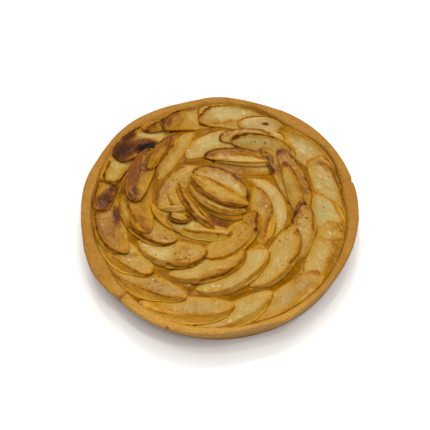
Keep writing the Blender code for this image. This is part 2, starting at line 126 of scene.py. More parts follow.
# Browned edges of each slice: darkness, half width and course
SEARED = {
    "outer_01": [
        (0.72, 1.2, (-8, 109, -14, 104, -18, 97, -20, 92, -18, 88.5, -12, 86)),
        (0.64, 1.0, (-8, 109, 0, 110.5, 10, 112, 18, 111.5, 25, 109.5, 32, 107.5, 40, 103.5, 47, 100, 50, 97)),
        (0.4, 1.6, (-12, 86.5, -5, 89, 3, 89, 10, 91, 20, 92)),
    ],
    "outer_03": [
        (0.5, 1.1, (53, 73, 53, 79, 58, 81, 63, 83)),
        (0.36, 1.2, (66, 82, 73, 78, 80, 73, 88, 67, 94, 60, 98, 52)),
    ],
    "outer_04": [
        (0.45, 1.0, (80, 41, 81, 46, 86, 47.5, 91, 47, 94, 43)),
        (0.66, 1.2, (93, 43, 98, 39, 101, 33, 103, 25, 105, 18, 107, 8, 108, -4)),
    ],
    "outer_05": [(0.42, 1.5, (79, 7, 82, 9.5, 88, 9.5, 94, 7, 98, 2, 101, -7, 104, -17, 105, -25))],
    "outer_06": [
        (0.5, 1.1, (92, -20, 96, -18.5, 100, -22, 103, -29, 104, -36)),
        (0.48, 2.2, (101, -38, 99, -46, 95, -54, 90, -62, 86, -72)),
        (0.3, 0.8, (82, -37.5, 88, -37.5, 93, -39)),
    ],
    "outer_07": [
        (0.62, 1.3, (61.5, -73.5, 67, -69, 74, -66.3, 79.3, -65.9, 80.6, -69.5)),
        (0.36, 1.2, (75, -80, 66, -88, 60, -95, 50, -103, 40, -108, 30, -109)),
    ],
    "outer_08": [(0.26, 1.0, (41, -83, 43, -87, 41, -93, 36, -98, 28, -103, 20, -107, 12, -112, 5, -114))],
    "outer_09": [
        (0.34, 0.9, (-58, -93, -50, -96, -40, -100, -30,
            -103, -18, -106, -8, -106, 2, -104, 10, -100, 12, -97)),
    ],
    "outer_10": [
        (0.48, 0.9, (-90, -63, -85, -69, -78, -74, -70, -78.5, -60, -83, -50, -87, -40, -90, -29, -91)),
    ],
    "outer_11": [
        (0.5, 0.9, (-98, -38, -95, -46, -90, -52, -84, -57, -76,
            -62, -68, -67, -60, -70.5, -55, -70.5, -54, -66)),
    ],
    "outer_12": [
        (0.75, 1.1, (-107, -5, -106, -15, -103, -27, -99, -36, -93, -44, -86, -49, -80, -51, -75, -51)),
        (0.3, 1.4, (-76, -48, -80, -40, -87, -30)),
    ],
    "outer_13": [(0.9, 1.3, (-104, 38, -106, 30, -107.5, 20, -109, 10, -108.5, 3, -106, -4))],
    "outer_14": [
        (0.8, 1.2, (-103, 28, -102, 23, -98, 21, -92, 21, -88, 23, -84, 28, -82, 32)),
        (0.65, 1.0, (-103, 28, -101, 36, -99, 43)),
    ],
    "outer_15": [
        (1.0, 1.7, (-97, 50, -94, 58, -90, 66, -85, 74, -80, 81, -76, 85, -70, 88.5, -62, 90, -56, 91)),
    ],
    "outer_16": [
        (0.8, 1.2, (-70, 79, -66, 83, -62, 87, -58, 90, -53, 92)),
        (0.75, 1.4, (-70, 79, -67, 77, -60, 76.5, -55, 77)),
    ],
    "outer_17": [
        (0.95, 2.2, (-55.2, 78, -53.2, 83, -52.2, 88, -52.6, 92.5)),
        (0.8, 1.1, (-51, 92, -48, 97, -44, 101, -38, 104, -31, 107.5, -25, 110.5, -18, 111.5, -10, 111)),
    ],
    "middle_01": [(0.3, 1.1, (-30, 52, -31, 60, -29, 66, -24, 71, -18, 75, -10, 79, 0, 80.5))],
    "middle_02": [(0.68, 1.2, (1, 67, 0, 72, 4, 77, 10, 82, 18, 84, 25, 84.5, 33, 83, 40, 80, 46, 76))],
    "middle_03": [
        (0.85, 1.4, (12, 70, 18, 73, 25, 76, 32, 77.5, 38, 78, 44, 76, 50, 72)),
        (0.5, 1.1, (50, 72, 56, 70, 62, 63, 66, 57)),
    ],
    "middle_04": [
        (0.98, 2.7, (37, 59, 35.5, 54.5, 38, 50.5, 40.8, 47.5, 43, 44, 45.3, 37.6, 47.4, 32.5)),
        (0.55, 1.2, (38, 59, 43, 60, 50, 58)),
    ],
    "middle_05": [
        (0.9, 1.6, (52, 57, 57, 59, 62, 57, 67, 51, 72, 42, 76, 33, 79, 25, 80, 13)),
        (0.75, 1.4, (51, 54, 53, 46, 53, 38)),
    ],
    "middle_06": [
        (0.8, 1.3, (58, 44, 62, 42, 66, 36, 69, 28, 71, 20, 73, 10, 74, 4)),
        (0.55, 0.9, (57, 43, 56, 36, 56, 31)),
    ],
    "middle_07": [
        (1.0, 2.0, (77, -1, 74, -1, 70, -1.8, 67.2, -4.8, 65, -9, 63.6, -13.8, 62.3, -19)),
        (0.6, 1.2, (78, -2, 80, -10, 80, -18, 79, -28)),
    ],
    "middle_08": [
        (0.9, 1.4, (54.5, -25, 57.6, -20.4, 60.3, -22.7)), (0.9, 1.5, (66, -29, 69, -27.8, 71.3, -31)),
        (0.62, 1.2, (71.3, -31, 71, -41, 68.4, -47.6, 64, -52.3, 58, -60)),
    ],
    "middle_09": [
        (0.3, 0.8, (25, -45, 30, -41, 36, -39.5, 42, -42, 44, -46)), (0.4, 0.8, (28, -47, 34, -46, 41, -48)),
        (0.32, 1.1, (44, -46, 43, -52, 40, -58, 34, -66, 26, -72, 20, -78)),
    ],
    "middle_10": [
        (0.68, 1.0, (22, -50, 20, -56, 14, -62, 6, -69)), (0.6, 1.1, (7, -69, 0, -71.5, -8, -73, -15, -76)),
    ],
    "middle_11": [(0.62, 1.2, (-10, -44, -10, -50, -14, -56, -22, -61, -30, -63.5, -36, -63, -42, -60))],
    "middle_12": [(0.74, 1.3, (-76, -25, -70, -31, -62, -36, -55, -39.5, -48, -42, -42, -42.5, -37, -41))],
    "middle_13": [(0.66, 1.2, (-78, -4, -74, -14, -68, -22, -62, -28, -59, -29))],
    "middle_14": [
        (0.92, 2.6, (-66, 57, -72, 52, -77, 46, -80, 38, -82, 30, -83, 22, -82, 14, -79, 7, -75, 2, -71, 1)),
    ],
    "middle_15": [
        (0.8, 1.3, (-66, 36, -65, 45, -62, 54, -58, 62, -54, 67, -48, 72, -40, 75)),
        (0.5, 1.2, (-62, 34, -57, 42, -51, 54)), (0.85, 1.5, (-44, 74, -45, 68.5, -46.5, 60, -50, 51)),
    ],
    "middle_16": [
        (0.92, 2.0, (-45, 70, -45.5, 65, -46.3, 60, -50, 51, -53.5, 43.5)),
        (0.62, 1.3, (-53.5, 43.5, -55.2, 34.2, -55.6, 27)), (0.65, 0.9, (-48, 72, -42, 75, -36, 79, -30, 80)),
    ],
    "inner_01": [(0.3, 0.9, (50, 33, 40, 31, 28, 31))],
    "inner_03": [
        (0.88, 1.5, (-14, 49, -11, 53, -6, 56, 2, 58.5, 10, 60, 20, 60.5, 29, 59.5, 36, 56)),
        (0.45, 1.0, (-14, 49, -10, 46, -2, 45, 8, 46)),
        (0.62, 1.1, (8, 52, 15, 52.4, 23.5, 51.6, 32.5, 49.8, 40, 47)),
    ],
    "inner_04": [(0.22, 1.0, (20, 28, 30, 30, 38, 28, 46, 22, 52, 12, 56, 0, 58, -10))],
    "inner_05": [
        (0.6, 1.4, (34, 17, 40, 12, 44, 5, 46, -3, 45, -12, 41, -20, 39, -28, 38, -35)),
        (0.45, 1.2, (26, 6, 27, 12, 30, 16, 34, 17)),
    ],
    "inner_06": [
        (0.85, 1.4, (27, -7, 31, -7.5, 33, -11, 32, -17, 31.5, -22, 31, -28)),
        (0.3, 0.8, (17, -17, 21, -22, 27, -27)), (0.42, 1.1, (28, -30, 22, -41, 14, -48, 4, -55, -6, -59)),
    ],
    "inner_08": [(0.68, 1.4, (-54, -6, -54, 5, -53, 12, -50, 20, -45, 28, -40, 34, -33, 38))],
    "inner_11": [
        (0.6, 1.0, (-30, -27, -24, -29.5, -20, -30.5, -10, -31, 0, -32.5, 8, -33, 11, -30)),
        (0.35, 0.9, (-20, -24, -8, -27, 6, -28)),
    ],
    "inner_12": [(0.97, 2.0, (-43, -12, -42, -17, -37, -20.5, -32, -20.5, -28, -21, -25, -17, -25, -13))],
    "inner_13": [
        (0.76, 1.5, (-36, 20, -34, 12, -31, 4, -28, -2, -25, -8, -20, -15, -12, -20, -4, -25)),
        (0.6, 0.9, (-33, 18, -28, 8, -22, -2, -14, -13, -5, -23)),
    ],
    "inner_14": [(0.5, 1.0, (-25, 12, -18, 2, -8, -7, 2, -12, 12, -15, 19, -16))],
    "inner_15": [(0.48, 1.0, (-26, 22, -22, 14, -16, 5, -8, -3, 0, -7.5, 10, -10, 20, -10))],
    "inner_16": [
        (0.92, 1.8, (-24, 33, -24, 37, -18, 41, -10, 41.5, -3,
            40, 5, 37, 12, 33, 19, 28, 24, 20, 26, 10, 25.5, 2)),
        (0.45, 1.2, (-20, 34, -12, 32)),
    ],
    "inner_17": [
        (0.8, 1.7, (-26, 27, -23, 21, -18, 15, -12, 9, -6, 4, 0, 0, 6, -2, 14, -4, 23, -5)),
        (0.6, 0.9, (-25, 28, -15, 29, -8, 24, 0, 19, 10, 12, 20, 5, 25, 1)),
    ],
}
# Slices whose peel side starts at one of their browned edges, and the number of that edge
PEEL_FROM = {
    "outer_03": 1, "outer_04": 1, "outer_05": 0, "outer_06": 1, "outer_07": 1, "outer_08": 0, "outer_09": 0,
    "outer_10": 0, "outer_11": 0, "outer_12": 0, "middle_07": 1, "middle_08": 2, "middle_09": 2,
    "middle_10": 1, "middle_11": 0, "middle_12": 0, "middle_13": 0, "inner_05": 0, "inner_06": 2,
    "inner_08": 0, "inner_11": 0,
}
# Patches on each slice: x, y, half length, half width, direction in degrees, added toast, burn
PATCHES = {
    "outer_01": [(-12, 95, 9, 9, 0, 0.22, 0), (14, 88, 7, 3, 20, 0.25, 0), (33, 98, 16, 6, -15, -0.12, 0)],
    "outer_02": [(43.5, 87.7, 3.0, 1.5, -8, 0.6, 0.75), (42, 88, 6, 4, 0, 0.1, 0)],
    "outer_03": [(60, 77, 9, 5, -20, 0.22, 0), (80, 57, 14, 6, -50, -0.12, 0), (76, 74, 12, 3, -35, 0.15, 0)],
    "outer_04": [(90, 42, 5, 3.5, -30, 0.35, 0), (96, 36, 7, 4, -50, 0.25, 0), (87, 24, 9, 4, 90, -0.08, 0)],
    "outer_05": [(90, -5.5, 0.9, 0.9, 0, 0.5, 0.25), (87, 2, 8, 5, -60, -0.05, 0)],
    "outer_06": [
        (96, -24, 7, 5, -60, 0.22, 0), (96, -43, 5, 3, -60, 0.35, 0.06), (90, -57, 6, 2.6, 55, 0.25, 0),
        (88, -66, 6, 2.6, 60, 0.28, 0),
    ],
    "outer_07": [(77, -68, 5, 2.6, 0, 0.42, 0.16), (62, -85, 14, 5, 40, 0.1, 0)],
    "outer_10": [
        (-51, -75.5, 1.3, 0.8, -20, 0.4, 0.2), (-56.5, -78.5, 0.8, 0.8, 0, 0.4, 0.2),
        (-40, -84, 12, 4, -20, 0.1, 0),
    ],
    "outer_11": [(-70, -52.5, 5, 2.2, 5, 0.34, 0), (-80, -50, 9, 5, -30, 0.08, 0)],
    "outer_12": [
        (-97, -6, 6, 8, 90, -0.12, 0), (-91, -24, 14, 5, -65, 0.06, 0),
        (-87.5, -14.5, 9.0, 4.0, -80, 0.5, 0.62),
    ],
    "outer_13": [
        (-99, 3, 11.5, 7.2, 68, 0.5, 0.61), (-94, 12.5, 7.0, 4.8, 60, 0.4, 0.58),
        (-95, 0.5, 3.4, 2.2, 70, 0.2, 0.74), (-87, 3, 8, 2.6, 70, -0.55, -0.5),
        (-101, 24, 6, 4, 20, -0.15, 0),
    ],
    "outer_14": [(-93, 30, 9, 6, 60, 0.05, 0), (-88, 42, 8, 5, 60, -0.05, 0)],
    "outer_15": [
        (-88, 56, 16, 11, 60, 0.7, 0.68), (-84, 72, 13, 5, 50, 0.6, 0.58), (-67, 60, 11, 5.5, 15, 0.6, 1.05),
        (-72, 66, 14, 4, 20, 0.4, 0.42), (-68, 76.5, 18, 4.5, -22, -0.3, -0.3),
        (-66, 86, 9, 3, 15, 0.25, 0.15),
    ],
    "outer_16": [
        (-67, 79, 4, 3, 20, 0.4, 0.42), (-58, 84, 4, 3, 60, -0.15, 0), (-60, 80, 5, 3, 60, 0.2, 0.1),
    ],
    "outer_17": [
        (-48, 90, 4, 7, 15, 0.3, 0.15), (-40, 92, 10, 7, 40, 0.12, 0), (-22, 96, 7, 11, 20, -0.2, 0),
        (-42, 84, 6, 2.5, 0, 0.3, 0),
    ],
    "middle_01": [(-24, 62, 3, 12, -30, 0.1, 0)],
    "middle_02": [(8, 75, 6, 4, 40, 0.25, 0), (8, 74, 1.0, 0.8, 0, 0.3, 0.3)],
    "middle_03": [
        (33, 66.3, 1.4, 1.0, -20, 0.4, 0.35), (42, 65, 0.8, 2.6, 0, 0.4, 0.25), (57, 64, 5, 4, -50, 0.1, 0),
        (17, 66, 5, 3, 0, -0.15, 0),
    ],
    "middle_04": [
        (37, 57, 6, 4, -40, 0.3, 0.25), (43, 51, 12, 4, -55, 0.2, 0.05), (47, 45, 4, 3, -50, 0.15, 0),
    ],
    "middle_05": [
        (54, 54.5, 5, 3.6, 40, 0.5, 0.55), (59, 56, 5, 3, -20, 0.4, 0.35), (66.5, 39, 0.9, 0.9, 0, 0.4, 0.35),
        (62, 48, 6, 4, -50, -0.08, 0), (68, 30, 14, 3, -75, 0.12, 0),
    ],
    "middle_06": [
        (59.5, 41, 3.5, 3, 60, 0.5, 0.4), (63, 30, 14, 3, -75, 0.05, 0), (64, 36, 6, 2, -60, 0.2, 0),
    ],
    "middle_07": [
        (66, -4, 4, 3, 50, 0.5, 0.5), (74.5, -16.5, 1.5, 1.1, 0, 0.5, 0.4), (69, -9, 0.9, 0.9, 0, 0.4, 0.2),
        (77, -6, 3, 1.4, -60, 0.4, 0.15), (74, -8, 7, 5, 60, 0.12, 0),
    ],
    "middle_08": [
        (50.3, -39, 1.0, 0.8, 0, 0.5, 0.35), (49, -41, 0.7, 0.7, 0, 0.4, 0.2), (64, -40, 12, 4, 70, 0.08, 0),
        (66, -31.5, 4, 2.5, -40, 0.4, 0.1), (68, -37, 7, 1.8, -80, 0.3, 0),
    ],
    "middle_09": [(35, -44, 9, 3.5, 0, 0.18, 0), (26, -64, 0.6, 0.6, 0, 0.4, 0.2)],
    "middle_10": [
        (-5, -69, 14, 3, 12, 0.3, 0.02), (12, -58, 10, 5, 45, 0.1, 0), (0, -66, 1.6, 1, 20, 0.4, 0.15),
        (-28, -73, 12, 4, 10, -0.12, 0),
    ],
    "middle_11": [
        (-27, -52, 15, 9, 20, 0.2, 0), (-33, -57.5, 4, 2, 0, 0.38, 0.12), (-28, -56, 1.6, 1, 0, 0.4, 0.25),
        (-41, -60, 1.6, 1, 0, 0.5, 0.3), (-52, -48, 12, 6, -25, -0.1, 0),
    ],
    "middle_12": [
        (-46, -29, 1.0, 0.8, 0, 0.5, 0.35), (-38, -28, 0.9, 0.7, 0, 0.5, 0.35),
        (-45, -36, 1.3, 1.0, 0, 0.5, 0.35), (-41, -33, 0.6, 0.6, 0, 0.4, 0.2),
        (-72, -22, 8, 3, -50, 0.25, 0.02), (-46, -32, 10, 6, 0, 0.04, 0),
    ],
    "middle_13": [
        (-60.5, -28, 3.2, 2.4, 0, 0.4, 0.25), (-69, -4, 12, 4, -75, 0.08, 0), (-67, -18, 6, 3, -50, 0.15, 0),
    ],
    "middle_14": [
        (-77.5, 31, 22, 5.5, 80, 0.4, 0.38), (-71, 48, 8, 6, 55, 0.3, 0.3),
        (-66.5, 36.5, 5, 3, -20, 0.35, 0.26), (-66, 20, 14, 5.5, 80, -0.22, 0),
        (-68.5, 46.5, 6, 1.4, 78, -0.75, -0.5), (-74, 3, 4, 2.4, 60, 0.4, 0.5),
    ],
    "middle_15": [
        (-58, 60, 7, 3.5, 60, 0.22, 0.1), (-53, 55, 8, 2.0, 62, -0.22, 0), (-60, 40, 6, 3, 70, -0.05, 0),
        (-48, 71, 5, 2, 40, 0.4, 0.35),
    ],
    "middle_16": [(-40, 60, 14, 7, 65, -0.05, 0), (-52, 32, 8, 3, 75, 0.05, 0)],
    # inner_01: the first patch is painted shade along its lower part, and the second makes its upper part paler
    "inner_01": [(20, 29, 24, 3.0, 0, 0.3, 0), (35, 36, 12, 4, -4, -0.32, 0)],
    "inner_03": [(-8, 50, 6, 4, 20, 0.16, 0), (22, 46.5, 22, 3.2, -4, -0.5, 0)],
    "inner_05": [(29, -31, 5, 2.6, 80, 0.5, 0.62), (40, 4, 4, 11, -20, 0.2, 0), (31, -20, 3, 8, 10, 0.1, 0)],
    "inner_06": [
        (30.5, -8.5, 3.0, 2.2, 30, 0.5, 0.52), (27, -15, 8, 5, 60, 0.14, 0), (1, -54, 0.7, 0.7, 0, 0.4, 0.2),
    ],
    "inner_08": [
        (-48, 12, 14, 4, 62, 0.1, 0), (-30, 36, 8, 4, 30, -0.2, 0), (-44, 12, 0.8, 0.8, 0, 0.3, 0.2),
    ],
    "inner_11": [(-20, -26, 16, 2.4, -8, 0.1, 0)],
    "inner_12": [(-28, -19, 3, 2, 20, 0.4, 0.4), (-33, -14, 5, 3, 0, -0.02, 0)],
    "inner_13": [(-32, 10, 12, 2.4, 115, 0.15, 0.1)],
    "inner_16": [
        (-20, 37, 6, 3.4, -10, 0.25, 0.05), (12, 22, 14, 5, -40, -0.05, 0), (21, 16, 8, 3, -60, 0.15, 0),
    ],
    "inner_17": [(-16, 20, 10, 5, -45, 0.1, 0), (15, -1, 9, 3, -10, 0.12, 0)],
}
# Freckled patches on each slice: x, y, half length, half width, direction in degrees
SPECKLED = {
    "middle_11": [(-32, -54, 12, 7, 22)],
    "middle_12": [(-43, -31, 9, 6, 30)],
    "middle_07": [(68, -13, 9, 7, 70)],
    "middle_08": [(52, -38, 9, 5, 60)],
    "outer_10": [(-49, -75, 8, 4, -20)],
    "inner_06": [(25, -13, 10, 6, 50)],
    "inner_17": [(4, 18, 14, 7, -30)],
    "inner_08": [(-40, 16, 14, 6, 60)],
    "middle_10": [(-2, -67, 12, 4, 12)],
}
# Creases across slices: from, to, depth. They are dented and also painted darker, as painted shade
CREASES = [
    ((82, -36), (101, -40), 0.5), ((17, -17), (27, -27), 0.5), ((25, -40), (44, -44), 0.6),
    ((30, -47), (40, -40), 0.3), ((62, 80), (70, 70), 0.3), ((-2, 88), (20, 84), 0.25),
    ((60, -72), (52, -90), 0.35), ((-40, 30), (-28, 34), 0.3),
]


def linear(*color):
    """The linear colour of an sRGB one given in 0 to 255."""
    shares = np.array(color) / 255
    return *np.where(shares <= 0.04045, shares / 12.92, ((shares + 0.055) / 1.055) ** 2.4), 1.0


def shades(*stops):
    """The stops of a colour ramp, each given as its place and its sRGB colour."""
    return [(place, linear(*color)) for place, *color in stops]


# ---- shader writing
class Flow:
    """A socket of one material, with the arithmetic that the finishes use."""

    def __init__(self, tree, socket=None):
        self.tree, self.socket = tree, socket

    def node(self, kind, settings=None, sockets=None, out=0):
        """Adds a node: first its settings, then the values or links of its sockets."""
        made = self.tree.nodes.new(kind)
        for name, value in (settings or {}).items():
            if name == "stops":
                ramp = made.color_ramp.elements
                while len(ramp) < len(value):
                    ramp.new(0.5)
                for element, (place, color) in zip(ramp, value):
                    element.position, element.color = place, color
            else:
                setattr(made, name, value)
        for name, value in (sockets or {}).items():
            if isinstance(value, Flow):
                self.tree.links.new(value.socket, made.inputs[name])
            else:
                made.inputs[name].default_value = value
        return Flow(self.tree, made.outputs[out])

    def math(self, operation, first, second):
        return self.node("ShaderNodeMath", {"operation": operation}, {0: first, 1: second})

    def __add__(self, other):
        return self.math("ADD", self, other)

    __radd__ = __add__

    def __sub__(self, other):
        return self.math("SUBTRACT", self, other)

    def __rsub__(self, other):
        return self.math("SUBTRACT", other, self)

    def __mul__(self, other):
        return self.math("MULTIPLY", self, other)

    __rmul__ = __mul__

    def limited(self):
        """The value kept between 0 and 1."""
        return self.node("ShaderNodeClamp", None, {"Value": self})

    def step(self, low, high):
        """0 below low, 1 above high, and a smooth rise between."""
        sockets = {"Value": self, "From Min": low, "From Max": high}
        return self.node("ShaderNodeMapRange", {"interpolation_type": "SMOOTHSTEP"}, sockets)

    def mix(self, first, second):
        """The first colour where this is 0 and the second where it is 1."""
        return self.node("ShaderNodeMix", {"data_type": "RGBA"}, {"Factor": self, 6: first, 7: second}, out=2)

    def ramp(self, stops):
        """The colour at this place along the stops."""
        return self.node("ShaderNodeValToRGB", {"stops": stops}, {"Fac": self})

    def attributes(self, *names):
        """The numbers that the piece carries under these names."""
        return [self.node("ShaderNodeAttribute", {"attribute_name": name}, out=2) for name in names]

    def place(self):
        return self.node("ShaderNodeTexCoord", out=3)

    def grain(self, size, detail=3.0, roughness=0.55):
        """Soft noise around 0 with grains of about this size in millimetres."""
        sockets = {"Vector": self.place(), "Scale": 1.0 / (size * MM), "Detail": detail, "Roughness": roughness}
        return self.node("ShaderNodeTexNoise", None, sockets) - 0.5

    def cells(self, size):
        """Distance to the nearest of scattered points about this many millimetres apart, in units of that."""
        return self.node("ShaderNodeTexVoronoi", None, {"Vector": self.place(), "Scale": 1.0 / (size * MM)})

    def bump(self, height, strength):
        return self.node("ShaderNodeBump", None, {"Height": height, "Distance": MM, "Strength": strength})


def finish(name, constants, paint):
    """A material: constants go on the shader's sockets, and paint returns what varies over the surface."""
    material = bpy.data.materials.new(name)
    material.use_nodes = True
    tree = material.node_tree
    shader = tree.nodes["Principled BSDF"]
    for socket, value in constants.items():
        shader.inputs[socket].default_value = value
    for socket, flow in paint(Flow(tree)).items():
        tree.links.new(flow.socket, shader.inputs[socket])
    return material


# ---- finishes
FLESH = shades(
    (0.0, 173, 152, 92), (0.2, 168, 137, 68), (0.42, 158, 119, 41), (0.66, 140, 94, 22), (0.86, 111, 64, 17),
    (1.0, 84, 43, 12),
)
SEAR = shades((0.0, 180, 132, 30), (0.35, 161, 113, 14), (0.65, 119, 70, 8), (0.95, 68, 34, 8))
BURNT = shades(
    (0.0, 160, 104, 30), (0.25, 124, 72, 20), (0.5, 88, 47, 15), (0.72, 61, 31, 13), (0.9, 34, 20, 13),
    (1.0, 22, 15, 12),
)
PEEL = shades((0.0, 193, 153, 60), (0.5, 181, 132, 36), (1.0, 143, 91, 16))
GOLDEN_EDGE = linear(159, 106, 10)
GOLDEN_GLOW = linear(173, 127, 25)
BROWN_EDGE = linear(100, 50, 8)
TANNED = linear(150, 100, 22)
# Golden colour of the crevices where slices touch: partly juice, partly painted light that warms their shade
JUICE_AND_PAINTED_GLOW = linear(182, 131, 22)


def baked_apple(flow):
    skin, brim, peel, toast, burn = flow.attributes("skin_mm", "brim_mm", "peel", "toast", "burn")
    line, seared, gloss, freckles, touching = flow.attributes("line", "seared", "gloss", "freckles", "touching")
    broad = flow.grain(24.0, 2.0)
    mottle = flow.grain(7.0, 4.0, 0.6)
    fine = flow.grain(1.3, 3.0, 0.6)
    browning = toast + broad * 0.55 + mottle * 0.5 + fine * 0.3
    color = browning.limited().ramp(FLESH)
    glow = 1.0 - (brim + mottle * 4.0).step(0.5, 5.5)
    color = (glow * 0.55).limited().mix(color, GOLDEN_GLOW)
    flank = (mottle * 1.1 + fine * 0.3 + toast * 0.7 + 0.1).limited().ramp(PEEL)
    color = peel.mix(color, flank)
    wander = flow.grain(3.2, 3.0, 0.6) * 2.2
    reach = skin * (peel * 1.1 + 1.0)
    halo = 1.0 - (reach + wander * 1.6 + mottle * 5.0).step(0.4, 6.0)
    color = (halo * (line * 0.35 + 0.05)).limited().mix(color, TANNED)
    edge = 1.0 - (reach + wander * 0.55 + 0.1).step(0.25, 1.5)
    color = (edge * (line * 0.6 + 0.2)).limited().mix(color, line.limited().mix(GOLDEN_EDGE, BROWN_EDGE))
    drawn = (seared + fine * 0.25 + mottle * 0.5 * seared) * seared.step(0.0, 0.12)
    color = drawn.step(0.04, 0.50).mix(color, drawn.limited().ramp(SEAR))
    cut = 1.0 - (brim + wander * 0.3).step(0.1, 0.9)
    color = (cut * (toast * 0.45 + 0.12)).limited().mix(color, GOLDEN_EDGE)
    pores = (1.0 - flow.cells(1.9).step(0.08, 0.26)) * (mottle * 4.0 + 0.5 + freckles).limited()
    color = (pores * (freckles * 0.5 + 0.15)).limited().mix(color, TANNED)
    dots = 1.0 - (flow.cells(3.1) - freckles * 0.05).step(0.07, 0.21)
    dots = dots * (flow.grain(9.0, 2.0) * 5.0 + freckles).limited()
    color = (dots * (freckles * 0.6 + 0.3)).limited().mix(color, BROWN_EDGE)
    # Where slices touch: partly juice, partly painted light that warms the shade of the crevice
    color = (touching * (mottle + 0.5)).mix(color, JUICE_AND_PAINTED_GLOW)
    charred = burn + fine * 0.10 * burn.step(0.0, 0.3) + mottle * 0.16 * burn.step(0.0, 0.5)
    color = charred.step(0.02, 0.34).mix(color, charred.limited().ramp(BURNT))
    syrup = gloss * 0.18 + flow.grain(2.6, 1.0) + flow.grain(9.0, 2.0) * 0.6
    syrup = syrup + peel * 0.05 - toast * 0.15 + (1.0 - brim.step(0.0, 3.0)) * 0.14
    wet = syrup.step(-0.03, 0.03) * (1.0 - burn.step(0.3, 0.8) * 0.6)
    relief = flow.grain(2.8, 1.0) + flow.grain(8.0, 1.0) * 2.4
    return {"Base Color": color, "Roughness": 0.85 - wet * 0.76, "Normal": flow.bump(relief, 0.6)}


JAM = shades((0.0, 86, 48, 1), (0.4, 120, 75, 2), (0.75, 146, 98, 3), (1.0, 163, 116, 9))
DARK_JAM = linear(98, 52, 12)


def amber_jam(flow):
    thin, caramel = flow.attributes("thin", "caramel")
    swirl = flow.grain(13.0, 3.0, 0.5)
    fine = flow.grain(2.6, 2.0, 0.5)
    shade = thin * 0.42 + swirl + fine * 0.15 + 0.36
    color = caramel.mix(shade.limited().ramp(JAM), DARK_JAM)
    relief = swirl + fine * 0.12
    return {"Base Color": color, "Roughness": 0.12 + fine * 0.12, "Normal": flow.bump(relief, 0.3)}


PASTRY = shades((0.0, 162, 116, 39), (0.5, 151, 105, 28), (1.0, 134, 87, 21))
# Lighter pastry colour, used as painted light on the front of the case
PASTRY_PAINTED_LIGHT = linear(183, 138, 55)
PASTRY_BROWN = linear(128, 74, 20)
PASTRY_SOAKED = linear(140, 86, 16)


def shortcrust(flow):
    toast, juice, pale, splashed = flow.attributes("toast", "juice", "pale", "splashed")
    broad = flow.grain(26.0)
    mottle = flow.grain(6.0, 4.0, 0.6)
    sand = flow.grain(0.8, 3.0, 0.65)
    color = (mottle * 1.6 + broad * 1.4 + sand * 0.9 + 0.4).limited().ramp(PASTRY)
    # Painted light: the front of the case and its outer wall there are painted lighter, for the light that
    # falls on them and is thrown back up onto the wall
    color = (pale + mottle * 0.6).limited().mix(color, PASTRY_PAINTED_LIGHT)
    color = (toast + sand * 0.4).limited().mix(color, PASTRY_BROWN)
    color = juice.mix(color, PASTRY_SOAKED)
    pits = (1.0 - flow.cells(2.4).step(0.08, 0.2)) * (flow.grain(5.0) * 3.0 + 0.1).limited()
    color = (pits * 0.35).limited().mix(color, PASTRY_BROWN)
    relief = sand * 0.4 + flow.grain(2.4, 1.0) * 1.4 - pits * 0.8
    syrup = (flow.grain(2.2, 1.0) + pale * 0.12).step(0.02, 0.08) * splashed
    dullness = (0.85 - juice * 0.3 - syrup * 0.68).limited()
    return {"Base Color": color, "Roughness": dullness, "Normal": flow.bump(relief, 0.8)}


# ---- mesh helpers
def new_mesh(name, spots, faces):
    """A mesh with its vertices at these spots, in millimetres."""
    mesh = bpy.data.meshes.new(name)
    mesh.from_pydata(np.array(spots) * MM, [], faces)
    mesh.update()
    return mesh


def new_piece(name, mesh, material):
    mesh.materials.clear()
    mesh.materials.append(material)
    mesh.shade_smooth()
    piece = bpy.data.objects.new(name, mesh)
    bpy.context.scene.collection.objects.link(piece)
    return piece


def outward(angles):
    """Level directions away from the middle, for angles in degrees."""
    turned = np.radians(angles)
    return np.column_stack([np.cos(turned), np.sin(turned), np.zeros(len(turned))])


def round_faces(count, turns):
    """Faces of a round grid, whose vertices are its middle and then its rings: a fan in the middle, quads
    between the rings, and one face across the last."""
    following = [(i, (i + 1) % turns) for i in range(turns)]
    faces = [(0, 1 + i, 1 + j) for i, j in following]
    for inner in range(1, count - turns, turns):
        outer = inner + turns
        faces += [(inner + i, outer + i, outer + j, inner + j) for i, j in following]
    return faces + [tuple(range(count - 1, count - turns - 1, -1))]


def declare(piece, node):
    """Puts the piece on the frame's root and hides the solid that it stands for."""
    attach(piece, "root")
    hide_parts(node)


def put(mesh, **values):
    """Stores numbers under these names, one for each vertex, for the finishes to read."""
    for name, numbers in values.items():
        mesh.attributes.new(name, "FLOAT", "POINT").data.foreach_set("value", np.asarray(numbers, np.float32))


def rows_of(items, name, width, kind=np.float32):
    """The numbers under this name of each vertex, edge or the like, one row for each."""
    rows = np.empty(len(items) * width, kind)
    items.foreach_get(name, rows)
    return rows.reshape(-1, width)


def spots_of(mesh):
    """Places of the vertices in millimetres."""
    return rows_of(mesh.vertices, "co", 3).astype(float) / MM


def move(mesh, spots):
    mesh.vertices.foreach_set("co", (spots * MM).ravel())
    mesh.update()


def edges_of(mesh):
    return rows_of(mesh.edges, "vertices", 2, np.int32)


def smooth(spots, ends, rounds):
    """Evens out a mesh without shrinking it."""
    count = np.bincount(ends.ravel(), minlength=len(spots))[:, None]
    for turn in range(2 * rounds):
        total = np.zeros_like(spots)
        np.add.at(total, ends[:, 0], spots[ends[:, 1]])
        np.add.at(total, ends[:, 1], spots[ends[:, 0]])
        spots = spots + (0.5 if turn % 2 == 0 else -0.52) * (total / count - spots)
    return spots


def rough(spots, size, seed):
    """Soft noise between about -1 and 1 at each spot."""
    shift = Vector((seed * 7.3, seed * 3.1, seed * 5.7))
    return np.array([noise.noise(Vector(spot) / size + shift) for spot in spots])


